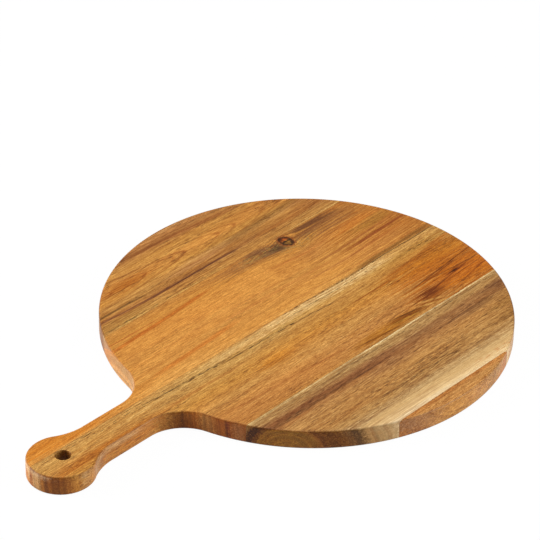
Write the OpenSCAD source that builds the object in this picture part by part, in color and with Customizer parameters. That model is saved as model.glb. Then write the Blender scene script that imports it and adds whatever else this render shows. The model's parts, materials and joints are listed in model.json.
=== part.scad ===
// Round tapas board with a handle, glued up edge to edge from acacia staves.
// The origin is the centre of the round, on the underside.
// The handle points along -Y, which is the way the grain runs.

/* [Board] */
// Diameter of the round serving face
board_d = 300; // [220:5:400]
// Thickness of the board
board_t = 15; // [10:0.5:25]
// Radius of the eased edge, top and bottom
edge_r = 1.75; // [1.75:0.25:4]

/* [Handle] */
// Length of the handle, from the rim of the round to its far end
handle_l = 120; // [100:1:180]
// Width of the neck
neck_w = 29; // [24:0.5:38]
// Diameter of the round end
end_d = 48; // [42:0.5:64]
// Radius of the inside curves between the round and the neck
shoulder_r = 31; // [15:0.5:50]
// Radius of the inside curves between the neck and the round end
waist_r = 41; // [15:0.5:70]

/* [Hanging hole] */
// Diameter of the hole through the round end
hole_d = 11; // [6:0.5:16]
// Distance from the far end of the handle to the middle of the hole
hole_end = 25.7; // [18:0.1:40]
// Width of the chamfer on each rim of the hole
hole_chamfer = 0.5; // [0.25:0.05:1]

/* [Staves] */
// Width of the staves on both sides of the seam that runs down the handle
stave_w = 72.2; // [40:0.2:120]
// Place of the seam that runs down the handle, from the centre line
handle_seam_x = -6.4; // [-9:0.1:9]
// Width of the narrow stave along the right rim
rim_stave_w = 12; // [8:0.5:24]
// Thickness of the cured glue in each seam
glue_t = 0.15; // [0.05:0.05:0.3]

/* [Hidden] */
board_r = board_d / 2;
neck_r = neck_w / 2;
end_r = end_d / 2;
end_y = end_r - board_r - handle_l;
hole_y = hole_end - board_r - handle_l;
shoulder_x = neck_r + shoulder_r;
shoulder_y = -sqrt(pow(board_r + shoulder_r, 2) - pow(shoulder_x, 2));
waist_x = neck_r + waist_r;
waist_y = end_y + sqrt(pow(end_r + waist_r, 2) - pow(waist_x, 2));

// Step left where two curves meet, so that they lap over each other and never graze
lap = 0.01;
// How far a cutting block reaches past what it cuts
reach = 5;

seam_x = [handle_seam_x - stave_w, handle_seam_x, handle_seam_x + stave_w, board_r - rim_stave_w];
glue_names = ["left_rim_glue_line", "handle_glue_line", "right_glue_line", "right_rim_glue_line"];
stave_names = ["left_rim_stave", "left_stave", "handle_stave", "right_stave", "right_rim_stave"];
stave_colors = ["#b5793a", "#c9843b", "#c4883f", "#b18247", "#b87a3c"];
glue_color = "#8a5a2c";

$fn = 96;

// Half section of the board, from its middle out to an eased edge
module half_section(half_width) {
    square([half_width - edge_r, board_t]);
    translate([0, edge_r]) square([half_width, board_t - 2 * edge_r]);
    for (z = [edge_r, board_t - edge_r]) translate([half_width - edge_r, z]) circle(edge_r);
}

// Plate with a round hole, its eased edge at the hole
module ring_plate(hole_r, width) {
    rotate_extrude() translate([hole_r + width, 0]) mirror([1, 0]) half_section(width);
}

// Plate that narrows in two hollow curves of one radius, left and right of the centre line.
// It is cut off along the lines that join the centres of the curves to each other and to a point.
module blend_plate(center_x, center_y, curve_r, point_y) {
    intersection() {
        translate([center_x, center_y, 0]) ring_plate(curve_r - lap, board_d);
        translate([-center_x, center_y, 0]) ring_plate(curve_r - lap, board_d);
        translate([0, 0, -reach]) linear_extrude(board_t + 2 * reach)
            polygon([[0, point_y], [center_x, center_y], [-center_x, center_y]]);
    }
}

module neck() {
    translate([0, shoulder_y + reach, 0]) rotate([90, 0, 0])
        linear_extrude(shoulder_y - waist_y + 2 * reach) {
            half_section(neck_r);
            mirror([1, 0]) half_section(neck_r);
        }
}

module hanging_hole() {
    translate([0, hole_y, 0]) {
        translate([0, 0, -reach]) cylinder(d = hole_d, h = board_t + 2 * reach);
        for (side = [0, 1]) translate([0, 0, side * board_t]) mirror([0, 0, side])
            translate([0, 0, -hole_chamfer])
                cylinder(d1 = hole_d + 4 * hole_chamfer, d2 = hole_d, h = 2 * hole_chamfer);
    }
}

module board() {
    difference() {
        union() {
            rotate_extrude() half_section(board_r);
            blend_plate(shoulder_x, shoulder_y, shoulder_r, 0);
            neck();
            blend_plate(waist_x, waist_y, waist_r, end_y);
            translate([0, end_y, 0]) rotate_extrude() half_section(end_r);
        }
        hanging_hole();
    }
}

// The part of the board between two lines that run along the grain
module rip(from_x, to_x) {
    intersection() {
        board();
        translate([from_x, -board_d - handle_l, -reach])
            cube([to_x - from_x, 2 * (board_d + handle_l), board_t + 2 * reach]);
    }
}

// Stave n, from the left rim at 0 to the right rim
module stave(n) {
    from_x = n == 0 ? -board_d : seam_x[n - 1] + glue_t / 2;
    to_x = n == len(seam_x) ? board_d : seam_x[n] - glue_t / 2;
    color(stave_colors[n]) rip(from_x, to_x);
}

// Film of glue in seam n, with the left-hand seam at 0
module glue_line(n) {
    color(glue_color) rip(seam_x[n] - glue_t / 2, seam_x[n] + glue_t / 2);
}

for (n = [0 : len(stave_names) - 1]) stave(n);
for (n = [0 : len(glue_names) - 1]) glue_line(n);
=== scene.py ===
"""Dressed model of a round tapas board, glued up from five staves of oiled acacia.

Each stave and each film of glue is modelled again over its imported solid. The grain runs through the wood, so
that the serving face, the rim and the end grain agree. Places on the board are in millimetres in the finishes
and in metres in the meshes. The handle points along -Y, which is the way the grain runs.
"""
import json
import logging
import math
from dataclasses import dataclass
from enum import Enum
from typing import Any

import bpy
import numpy as np
from mathutils import Matrix, Vector
from mathutils.geometry import delaunay_2d_cdt


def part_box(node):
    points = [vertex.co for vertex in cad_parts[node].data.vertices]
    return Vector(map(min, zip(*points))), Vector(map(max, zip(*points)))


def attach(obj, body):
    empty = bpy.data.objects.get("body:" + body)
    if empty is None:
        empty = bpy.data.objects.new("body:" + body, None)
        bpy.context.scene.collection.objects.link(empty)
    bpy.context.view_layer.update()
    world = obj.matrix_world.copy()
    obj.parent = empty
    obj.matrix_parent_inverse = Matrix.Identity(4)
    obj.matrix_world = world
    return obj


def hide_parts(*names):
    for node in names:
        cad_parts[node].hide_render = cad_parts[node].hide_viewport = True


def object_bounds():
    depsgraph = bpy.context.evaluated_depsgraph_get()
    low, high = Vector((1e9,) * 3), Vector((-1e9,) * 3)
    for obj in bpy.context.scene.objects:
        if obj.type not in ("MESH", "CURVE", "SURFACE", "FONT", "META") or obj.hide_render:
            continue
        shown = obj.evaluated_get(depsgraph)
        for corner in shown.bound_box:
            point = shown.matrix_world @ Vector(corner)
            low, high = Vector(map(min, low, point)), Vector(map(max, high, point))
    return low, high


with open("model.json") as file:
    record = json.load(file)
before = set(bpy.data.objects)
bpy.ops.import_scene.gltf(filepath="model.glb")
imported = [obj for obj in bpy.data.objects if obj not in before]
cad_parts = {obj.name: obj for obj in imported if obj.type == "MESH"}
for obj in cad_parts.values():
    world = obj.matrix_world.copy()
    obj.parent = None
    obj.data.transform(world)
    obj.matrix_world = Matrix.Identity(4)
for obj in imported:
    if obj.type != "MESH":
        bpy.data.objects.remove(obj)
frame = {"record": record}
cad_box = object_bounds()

log = logging.getLogger("tapas_board")
MM = 0.001
BODY = "root"


def linear(hex_color: str) -> tuple[float, float, float, float]:
    """Turns a screen colour into the linear colour that shaders take.

    Args:
        hex_color: Six hexadecimal digits.

    Returns:
        Red, green, blue and an alpha of 1.
    """
    channels = [int(hex_color[i:i + 2], 16) / 255 for i in (0, 2, 4)]
    red, green, blue = (c / 12.92 if c <= 0.04045 else ((c + 0.055) / 1.055) ** 2.4 for c in channels)
    return red, green, blue, 1.0


class Wire:
    """Output of a node. One that carries a number can be worked with by plain arithmetic."""

    def __init__(self, bench: "NodeBench", socket: bpy.types.NodeSocket) -> None:
        """Keeps the output, and the bench that makes the nodes which follow."""
        self.bench = bench
        self.socket = socket

    def __add__(self, other: "Wire | float") -> "Wire":
        """Adds a number."""
        return self.bench.math("ADD", self, other)

    def __sub__(self, other: "Wire | float") -> "Wire":
        """Takes a number away."""
        return self.bench.math("SUBTRACT", self, other)

    def __mul__(self, other: "Wire | float") -> "Wire":
        """Multiplies by a number."""
        return self.bench.math("MULTIPLY", self, other)

    def __truediv__(self, other: "Wire | float") -> "Wire":
        """Divides by a number."""
        return self.bench.math("DIVIDE", self, other)

    def __abs__(self) -> "Wire":
        """Drops the sign."""
        return self.bench.math("ABSOLUTE", self)


Value = Wire | bpy.types.NodeSocket | float | tuple[float, ...]


class NodeBench:
    """Adds nodes to one tree and hands back their results."""

    def __init__(self, tree: bpy.types.NodeTree) -> None:
        """Keeps the tree that the nodes go into."""
        self.tree = tree

    @classmethod
    def for_shader(cls, block: bpy.types.Material | bpy.types.World) -> "NodeBench":
        """Empties the shader tree of a material or world.

        Args:
            block: The material or world.

        Returns:
            A bench for the empty tree.
        """
        block.use_nodes = True
        block.node_tree.nodes.clear()
        return cls(block.node_tree)

    def node(self, kind: str, feeds: dict[str | int, Value] | None = None, **settings: Any) -> bpy.types.Node:
        """Adds one node.

        Args:
            kind: Blender's name for the kind of node.
            feeds: What goes into its inputs, by their names or numbers.
            **settings: Properties of the node.

        Returns:
            The new node.
        """
        made = self.tree.nodes.new(kind)
        for name, setting in settings.items():
            setattr(made, name, setting)
        for key, value in (feeds or {}).items():
            self.feed(made.inputs[key], value)
        return made

    def wire(self, kind: str, feeds: dict[str | int, Value], output: str | int = 0, **settings: Any) -> Wire:
        """Adds one node and gives the named or numbered output."""
        return Wire(self, self.node(kind, feeds, **settings).outputs[output])

    def feed(self, socket: bpy.types.NodeSocket, value: Value) -> None:
        """Links an input to a result, or sets its constant.

        Args:
            socket: The input.
            value: The result or constant.
        """
        if isinstance(value, Wire):
            value = value.socket
        if isinstance(value, bpy.types.NodeSocket):
            self.tree.links.new(value, socket)
        else:
            socket.default_value = value

    def math(self, operation: str, *values: Value) -> Wire:
        """Adds a Math node, with its values in order."""
        return self.wire("ShaderNodeMath", dict(enumerate(values)), operation=operation)

    def vector(self, operation: str, first: Value, second: Value) -> Wire:
        """Adds a Vector Math node that takes two vectors and gives one."""
        return self.wire("ShaderNodeVectorMath", {0: first, 1: second}, operation=operation)

    def scaled(self, vector: Value, factor: Value) -> Wire:
        """Multiplies a vector or a colour by a number."""
        return self.wire("ShaderNodeVectorMath", {0: vector, "Scale": factor}, operation="SCALE")

    def length(self, vector: Value) -> Wire:
        """Measures a vector."""
        return self.wire("ShaderNodeVectorMath", {0: vector}, "Value", operation="LENGTH")

    def split(self, vector: Value) -> tuple[Wire, Wire, Wire]:
        """Splits a vector into its three numbers."""
        x, y, z = self.node("ShaderNodeSeparateXYZ", {0: vector}).outputs
        return Wire(self, x), Wire(self, y), Wire(self, z)

    def join(self, x: Value, y: Value, z: Value = 0.0) -> Wire:
        """Makes a vector of three numbers."""
        return self.wire("ShaderNodeCombineXYZ", {0: x, 1: y, 2: z})

    def noise(self, point: Value, detail: float = 2.0, roughness: float = 0.5) -> Wire:
        """Adds soft noise of about unit size.

        Args:
            point: Where it is read.
            detail: Number of finer octaves.
            roughness: Strength of the finer octaves.

        Returns:
            Noise about 0.5.
        """
        feeds = {"Vector": point, "Scale": 1.0, "Detail": detail, "Roughness": roughness}
        return self.wire("ShaderNodeTexNoise", feeds, noise_dimensions="3D")

    def ease(self, value: Value, low: Value, high: Value, at_low: float = 0.0, at_high: float = 1.0) -> Wire:
        """Adds a smooth step between two values.

        Args:
            value: What is compared.
            low: Where the step starts.
            high: Where it ends.
            at_low: Result up to low.
            at_high: Result from high on.

        Returns:
            The step.
        """
        feeds = dict(enumerate((value, low, high, at_low, at_high)))
        return self.wire("ShaderNodeMapRange", feeds, interpolation_type="SMOOTHSTEP")

    def tint(self, share: Value, base: Value, other: Value, blend: str = "MIX") -> Wire:
        """Adds a Mix node for colours.

        Args:
            share: How much of the second colour is taken.
            base: First colour.
            other: Second colour.
            blend: Blend type.

        Returns:
            The mixed colour.
        """
        # The node has inputs for numbers and vectors too, so its colours are inputs 6 and 7 and output 2
        feeds = {0: share, 6: base, 7: other}
        return self.wire("ShaderNodeMix", feeds, 2, data_type="RGBA", blend_type=blend)


class Cut(Enum):
    """How a stave was sawn from its log, which sets how its rings lie."""

    FLAT = "flat sawn"
    QUARTER = "quarter sawn"


@dataclass(frozen=True)
class Rings:
    """Growth rings of one stave, in millimetres.

    Attributes:
        cut: How the stave was sawn.
        x: Place of the log's heart across the board, for a flat sawn stave.
        depth: How far the heart lies under the serving face, for a flat sawn stave.
        climb: How far the heart rises for each millimetre towards the far rim.
        lean: How far a ring shifts for each millimetre of depth, for a quarter sawn stave.
        spacing: Distance between the soft ring bands.
        contrast: Strength of the soft ring bands.
        lines: Strength of the thin dark ring lines.
        arches: Places along the board where single dark rings come up to the serving face in a pointed arch.
    """

    cut: Cut
    x: float = 0.0
    depth: float = 60.0
    climb: float = 0.0
    lean: float = 0.15
    spacing: float = 3.0
    contrast: float = 0.2
    lines: float = 0.3
    arches: tuple[float, ...] = ()


@dataclass(frozen=True)
class Shade:
    """Colour of the wood where its rings meet the serving face at one place across the board.

    Attributes:
        x: The place, in millimetres.
        color: The colour.
    """

    x: float
    color: str


@dataclass(frozen=True)
class Streak:
    """Line of other colour along the grain, in millimetres.

    Attributes:
        x: Place across the board.
        near: End towards the handle.
        far: End towards the far rim.
        width: Half width, out to where it has faded.
        color: Its colour.
        strength: How much of that colour it takes.
        broken: How far it breaks up into dashes, from 0 to 1.
        dash: Length of its dashes.
        slope: How far it runs to the right for each millimetre towards the far rim.
    """

    x: float
    near: float
    far: float
    width: float
    color: str
    strength: float = 0.7
    broken: float = 0.0
    dash: float = 6.0
    slope: float = 0.0


@dataclass(frozen=True)
class Cloud:
    """Soft patch of other colour, in millimetres.

    Attributes:
        x: Place of its middle across the board.
        y: Place of its middle along the board.
        half_width: Reach across the grain.
        half_length: Reach along the grain.
        color: Its colour.
        strength: How much of that colour it takes.
        sheen_above: Height that it stays over, on the rim, where it paints a pale sheen on the upper part of a
            wall.
    """

    x: float
    y: float
    half_width: float
    half_length: float
    color: str
    strength: float = 0.7
    sheen_above: float = 0.0


@dataclass(frozen=True)
class Knot:
    """Sound knot that goes through a stave, in millimetres.

    Attributes:
        x: Place across the board.
        y: Place along the board.
        half_width: Reach of its bark line across the grain.
        half_length: Reach of its bark line along the grain.
        reach: How far the grain bends round it.
        bright: Colour of the left of its heart.
        dull: Colour of the right of its heart.
        bark: Colour of its bark line.
        halo: Colour of the wood close round it.
        sunk: How far it has sunk into the serving face.
    """

    x: float
    y: float
    half_width: float
    half_length: float
    reach: float
    bright: str
    dull: str
    bark: str
    halo: str
    sunk: float = 0.3


@dataclass(frozen=True)
class WoodFinish:
    """Oiled acacia of one stave.

    Attributes:
        rings: How its growth rings lie.
        shades: Its colours across the board, from left to right.
        streaks: Lines along its grain.
        clouds: Its soft patches.
        rim_clouds: Soft patches that show on its rim only, where those that stay over a height are painted
            sheen.
        knot: Its knot, if it has one.
        wander: How far the grain wanders from straight, in millimetres.
        bands: Strength of its broad light and dark bands.
        stripes: Strength of its narrow stripes.
        lines: Strength of its fine lines.
        fibre: Strength of its single fibres.
        grit: Strength of its short flecks.
        hue: How far its bands lean to red or to olive.
        frayed: How far its colours reach into each other along the fibres, in millimetres.
        pores: Strength of its short dark pores.
        pore_share: Share of the wood that shows pores, from 0 to 1.
        pores_end: Where the wood turns smooth towards the right, in millimetres.
        end_tint: Colour by which the oil darkens the end grain.
        seed: Shifts its noise, so that no two staves match.
    """

    rings: Rings
    shades: tuple[Shade, ...]
    streaks: tuple[Streak, ...] = ()
    clouds: tuple[Cloud, ...] = ()
    rim_clouds: tuple[Cloud, ...] = ()
    knot: Knot | None = None
    wander: float = 2.5
    bands: float = 0.5
    stripes: float = 0.3
    lines: float = 1.3
    fibre: float = 1.6
    grit: float = 0.9
    hue: float = 0.35
    frayed: float = 9.0
    pores: float = 0.5
    pore_share: float = 0.3
    pores_end: float = 200.0
    end_tint: str = "cdb089"
    seed: float = 0.0


@dataclass(frozen=True)
class Grain:
    """Noise that is stretched along the grain, in millimetres.

    Attributes:
        width: Its size across the grain.
        length: Its size along the grain.
        step: Sets it apart from the stave's other noise.
        detail: Number of finer octaves.
        roughness: Strength of the finer octaves.
    """

    width: float
    length: float
    step: float
    detail: float = 2.0
    roughness: float = 0.6


class WoodTree:
    """Shader tree of one stave's wood, worked out in millimetres.

    The colours of the serving face run down through the wood along the growth rings.

    Attributes:
        slow_wander: Long bends of the grain.
        quick_wander: Short bends of the grain.
        fray_aside: How far a fibre's colour is shifted across the grain.
        fray_along: How far a fibre's colour is shifted along the grain.
        pore_dashes: Single pores.
        pore_crowds: Patches in which pores show.
        darkening: How strongly light and dark bands act on red, green and blue.
        reddening: How strongly red and olive bands act on red, green and blue.
        end_rings: How much more the growth rings show on the end grain.
        edge_oil_and_shade: How far the eased edges are darkened, partly for oil soaked into them and partly as
            painted shade.
        ring_line: Colour by which a thin ring line darkens the wood.
        arch_line: Colour by which the ring of a pointed arch darkens the wood.
        pore: Colour by which a pore darkens the wood.
        cloud_fray: How far the fibres carry a cloud's colour, in shares of its width and length.
        cloud_fade: Where a cloud starts to fade and where it ends, in shares of its reach.
        sheen_fade: Half of the height over which a painted sheen on the rim fades.
        streak_fade: Longest stretch over which the end of a streak fades.
        dash_width: Width of the dashes of a broken streak.
        pores_fade: Stretch over which the pores end, towards smooth wood.
    """

    slow_wander = Grain(55, 170, 3.1, detail=1.0, roughness=0.5)
    quick_wander = Grain(14, 60, 7.7, roughness=0.5)
    fray_aside = Grain(1.3, 80, 53.9)
    fray_along = Grain(1.0, 140, 59.3)
    pore_dashes = Grain(0.42, 7.0, 31.3, detail=1.0, roughness=0.5)
    pore_crowds = Grain(5, 60, 37.9, detail=1.0, roughness=0.5)
    darkening = (0.8, 1.1, 1.45)
    reddening = (0.5, -0.3, -1.4)
    end_rings = 1.2
    edge_oil_and_shade = 0.22
    ring_line = "b08058"
    arch_line = "c08a52"
    pore = "663a1e"
    cloud_fray = (1.6, 2.4)
    cloud_fade = (0.35, 1.1)
    sheen_fade = 2.0
    streak_fade = 14.0
    dash_width = 0.6
    pores_fade = 12.0

    def __init__(self, finish: WoodFinish, name: str, top: float) -> None:
        """Builds the material.

        Args:
            finish: The stave's wood.
            name: Name of the material.
            top: Height of the serving face.
        """
        self.finish = finish
        self.material = bpy.data.materials.new(name)
        self.bench = NodeBench.for_shader(self.material)
        place = self.bench.node("ShaderNodeTexCoord").outputs["Object"]
        self.point = self.bench.scaled(place, 1 / MM)
        self.x, self.y, self.z = self.bench.split(self.point)
        self.across = self._bent()
        self.ring, self.face_x = self._rings(top)
        self.aside = self._noise(self.across, self.fray_aside) - 0.5
        self.along = self._noise(self.across, self.fray_along) - 0.5
        normal = self.bench.node("ShaderNodeNewGeometry").outputs["Normal"]
        _, facing, up = self.bench.split(normal)
        self.ends = self.bench.ease(abs(facing), 0.15, 0.85)
        self.level = abs(up)
        self._dress()

    def _dress(self) -> None:
        """Lays the colours over each other and ends the tree in an oiled satin surface."""
        bench, finish = self.bench, self.finish
        color = self._shades()
        patchy = bench.ease(self.along, -0.2, 0.05, 0.3, 1.0)
        for cloud in finish.clouds:
            color = self._cloud(color, cloud, patchy)
        for streak in finish.streaks:
            color = self._streak(color, streak)
        color = bench.tint(self.ends, color, linear(finish.end_tint), "MULTIPLY")
        # The level is 1 on the flats, 0 on the walls and between the two on the eased edges
        rim = bench.ease(self.level, 0.3, 0.85, 1.0, 0.0) * patchy
        for cloud in finish.rim_clouds:
            share = rim
            # A patch that stays over a height is painted sheen, paler on the upper part of a wall and fading
            # below
            if cloud.sheen_above > 0:
                low, high = cloud.sheen_above - self.sheen_fade, cloud.sheen_above + self.sheen_fade
                share = rim * bench.ease(self.z, low, high)
            color = self._cloud(color, cloud, share)
        color = self._ring_lines(color)
        color, height = self._fibres(color)
        if finish.knot is not None:
            color = self._knot(color, finish.knot)
        # Painted shade, which also stands for oil soaked into the wood: the eased edges, where the surface
        # slants between flat and wall, are darkened
        slant = abs(self.level - 0.6)
        color = bench.scaled(color, bench.ease(slant, 0.1, 0.4, 1 - self.edge_oil_and_shade, 1.0))
        bump = bench.node("ShaderNodeBump", {"Strength": 0.12, "Distance": 0.1 * MM, "Height": height})
        shader = bench.node("ShaderNodeBsdfPrincipled", {
            "Base Color": color,
            "Roughness": bench.ease(height, 0.2, 0.8, 0.48, 0.34),
            "Specular IOR Level": 0.2,
            "Normal": bump.outputs[0],
        })
        bench.node("ShaderNodeOutputMaterial", {"Surface": shader.outputs[0]})

    def _noise(self, x: Wire, grain: Grain, through: bool = True) -> Wire:
        """Adds noise that is stretched along the grain.

        Args:
            x: Place across the grain.
            grain: Size and kind of the noise.
            through: Whether it changes with the height too.

        Returns:
            Noise about 0.5.
        """
        seed, step = self.finish.seed, grain.step
        place = self.bench.join(x, self.y, self.z if through else 0.0)
        place = self.bench.vector("MULTIPLY", place, (1 / grain.width, 1 / grain.length, 1 / grain.width))
        place = self.bench.vector("ADD", place, (seed + step, 1.7 * seed - step, 0.6 * seed + 2 * step))
        return self.bench.noise(place, grain.detail, grain.roughness)

    def _bent(self) -> Wire:
        """Takes the grain's wander and its bend round the knot out of the place across the board.

        Returns:
            The place across the grain.
        """
        wander, knot = self.finish.wander, self.finish.knot
        slow = self._noise(self.x, self.slow_wander) - 0.5
        quick = self._noise(self.x, self.quick_wander) - 0.5
        moved = quick * (1.2 * wander) + (slow * (4 * wander) + self.x)
        if knot is None:
            return moved
        # The knot has pushed the grain aside, less and less with the distance
        away = moved - knot.x
        far = self.bench.length(self.bench.join(away, self.y - knot.y)) / knot.reach
        return moved - away / (far * far + 1.0)

    def _rings(self, top: float) -> tuple[Wire, Wire]:
        """Follows the growth rings through the wood.

        Args:
            top: Height of the serving face.

        Returns:
            The ring that passes through the point, in millimetres, and where it meets the serving face.
        """
        bench, rings = self.bench, self.finish.rings
        under = self.z - top
        if rings.cut is Cut.QUARTER:
            leaned = under * rings.lean + self.across
            return leaned, leaned
        # Each ring is a circle round the log's heart, and is followed up to where it meets the serving face
        heart = self.y * -rings.climb + rings.depth
        aside = self.across - rings.x
        ring = bench.length(bench.join(aside, under + heart))
        reach = bench.math("SQRT", bench.math("MAXIMUM", ring * ring - heart * heart, 0.0))
        return ring, bench.math("SIGN", aside) * reach + rings.x

    def _shades(self) -> Wire:
        """Gives the colour that the rings have across the serving face.

        Returns:
            The colour.
        """
        shades = self.finish.shades
        left, right = shades[0].x, shades[-1].x
        frayed = self.aside * self.finish.frayed + self.face_x
        ramp = self.bench.node("ShaderNodeValToRGB", {0: (frayed - left) / (right - left)})
        ramp.color_ramp.interpolation = "EASE"
        stops = ramp.color_ramp.elements
        while len(stops) < len(shades):
            stops.new(0.5)
        for stop, shade in zip(stops, shades):
            stop.position = (shade.x - left) / (right - left)
            stop.color = linear(shade.color)
        return Wire(self.bench, ramp.outputs[0])

    def _cloud(self, color: Wire, cloud: Cloud, share: Wire) -> Wire:
        """Lays a patch over the colour that frays out along the grain.

        Args:
            color: Colour so far.
            cloud: The patch.
            share: How much of it shows.

        Returns:
            The colour.
        """
        bench = self.bench
        aside = self.aside * self.cloud_fray[0] + (self.face_x - cloud.x) / cloud.half_width
        along = self.along * self.cloud_fray[1] + (self.y - cloud.y) / cloud.half_length
        far = bench.length(bench.join(aside, along))
        spread = bench.ease(far, *self.cloud_fade, cloud.strength, 0.0)
        return bench.tint(spread * share, color, linear(cloud.color))

    def _streak(self, color: Wire, streak: Streak) -> Wire:
        """Draws one line along the grain over the colour.

        Args:
            color: Colour so far.
            streak: The line.

        Returns:
            The colour.
        """
        bench, width = self.bench, streak.width
        half = 0.5 * (streak.far - streak.near)
        along = self.y - (streak.near + half)
        aside = self.face_x - streak.x
        if streak.slope != 0:
            aside = along * -streak.slope + aside
        aside = abs(self.aside * width + aside)
        along = abs(self.along * (0.8 * half) + along)
        fade = min(self.streak_fade, 0.6 * half)
        share = bench.ease(aside, 0.25 * width, width, streak.strength, 0.0)
        share = share * bench.ease(along, half - fade, half + fade, 1.0, 0.0)
        if streak.broken > 0:
            dashes = Grain(self.dash_width, streak.dash, streak.x, roughness=0.5)
            dash = self._noise(self.face_x, dashes, through=False)
            share = share * bench.ease(dash, 0.5, 0.58, 1 - streak.broken, 1.0)
        return bench.tint(share, color, linear(streak.color))

    def _ring_lines(self, color: Wire) -> Wire:
        """Shades the soft bands and thin dark lines of the growth rings.

        Args:
            color: Colour so far.

        Returns:
            The colour.
        """
        bench, rings = self.bench, self.finish.rings
        soft = self._noise(self.ring, Grain(rings.spacing, 260, 11.3, detail=3.0), through=False)
        contrast = self.ends * self.end_rings + 2 * rings.contrast
        color = bench.scaled(color, (soft - 0.5) * contrast + 1.0)
        fine = self._noise(self.ring, Grain(2.2 * rings.spacing, 300, 17.9, roughness=0.5), through=False)
        line = bench.ease(abs(fine - 0.5), 0.0, 0.03, rings.lines, 0.0)
        color = bench.tint(line, color, linear(self.ring_line), "MULTIPLY")
        for apex in rings.arches:
            off = abs(self.ring - (rings.depth - rings.climb * apex))
            arch = bench.ease(off, 0.02, 0.15, 0.38, 0.0)
            color = bench.tint(arch, color, linear(self.arch_line), "MULTIPLY")
        return color

    def _fibres(self, color: Wire) -> tuple[Wire, Wire]:
        """Adds the bands, stripes, fibres and pores along the grain.

        Args:
            color: Colour so far.

        Returns:
            The colour, and how far the surface stands up, for the bump.
        """
        bench, finish = self.bench, self.finish
        layers = (
            (finish.bands, self.darkening, Grain(9.0, 240, 41.3)),
            (finish.hue, self.reddening, Grain(12.0, 150, 43.9)),
            (finish.stripes, self.darkening, Grain(2.0, 70, 47.1)),
            (finish.lines, self.darkening, Grain(1.0, 26, 61.7)),
            (finish.fibre, self.darkening, Grain(0.42, 7.0, 23.1)),
            (finish.grit, self.darkening, Grain(0.6, 1.6, 29.7)),
        )
        dense = bench.ease(self.face_x, finish.pores_end - self.pores_fade, finish.pores_end, 1.0, 0.0)
        calm = dense * 0.6 + 0.4
        for strength, tones, grain in layers:
            fleck = self._noise(self.across, grain)
            tone = bench.vector("MULTIPLY", (fleck - 0.5) * calm, tuple(strength * t for t in tones))
            color = bench.vector("MULTIPLY", color, bench.vector("ADD", tone, (1.0, 1.0, 1.0)))
        bare = 0.7 - 0.6 * finish.pore_share
        crowd = bench.ease(self._noise(self.across, self.pore_crowds), bare, bare + 0.15)
        dash = bench.ease(self._noise(self.across, self.pore_dashes), 0.53, 0.66)
        pore = dash * (crowd * dense)
        color = bench.tint(pore * finish.pores, color, linear(self.pore), "MULTIPLY")
        return color, fleck - pore

    def _knot(self, color: Wire, knot: Knot) -> Wire:
        """Draws the knot over the colour.

        Args:
            color: Colour so far.
            knot: The knot.

        Returns:
            The colour.
        """
        bench = self.bench
        rough = bench.noise(bench.vector("MULTIPLY", self.point, (0.3, 0.3, 0.12)), 3.0, 0.6)
        grit = bench.noise(bench.vector("MULTIPLY", self.point, (0.8, 0.8, 0.3)), 3.0, 0.65)
        lump, speck = rough - 0.5, grit - 0.5
        aside = (self.x - knot.x) / knot.half_width
        along = (self.y - knot.y) / knot.half_length
        far = speck * 0.5 + (lump * 0.9 + bench.length(bench.join(aside, along)))
        color = bench.scaled(color, speck * bench.ease(far, 1.0, 5.0, 1.3, 0.0) + 1.0)
        color = bench.tint(bench.ease(far, 1.0, 1.6, 0.85, 0.0), color, linear(knot.halo))
        right = bench.ease(speck * 1.2 + aside, -0.3, -0.05)
        heart = bench.tint(right, linear(knot.bright), linear(knot.dull))
        heart = bench.scaled(heart, bench.ease(grit, 0.34, 0.62, 0.35, 1.15))
        color = bench.tint(bench.ease(far, 0.75, 0.9, 1.0, 0.0), color, heart)
        bark = bench.ease(abs(far - 0.84), 0.08, 0.34, 0.95, 0.0) * bench.ease(grit, 0.35, 0.6, 1.0, 0.8)
        color = bench.tint(bark, color, linear(knot.bark))
        check = bench.ease(abs(lump * 0.9 + aside), 0.04, 0.16, 0.85, 0.0)
        check = check * bench.ease(far, 0.7, 0.9, 1.0, 0.0)
        return bench.tint(check, color, linear(knot.bark))


@dataclass(frozen=True)
class GlueFinish:
    """Cured wood glue, amber brown and a little patchy.

    Attributes:
        dark: Colour of its dark patches.
        light: Colour of its light patches.
    """

    dark: str = "5a3a1c"
    light: str = "8d6335"

    def material(self, name: str) -> bpy.types.Material:
        """Makes the glue's material.

        Args:
            name: Name of the material.

        Returns:
            The material.
        """
        made = bpy.data.materials.new(name)
        bench = NodeBench.for_shader(made)
        place = bench.node("ShaderNodeTexCoord").outputs["Object"]
        patch = bench.noise(bench.vector("MULTIPLY", place, (300, 110, 300)), detail=4.0)
        shader = bench.node("ShaderNodeBsdfPrincipled", {
            "Base Color": bench.tint(bench.ease(patch, 0.35, 0.65), linear(self.dark), linear(self.light)),
            "Roughness": bench.ease(patch, 0.3, 0.7, 0.5, 0.38),
        })
        bench.node("ShaderNodeOutputMaterial", {"Surface": shader.outputs[0]})
        return made


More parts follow.
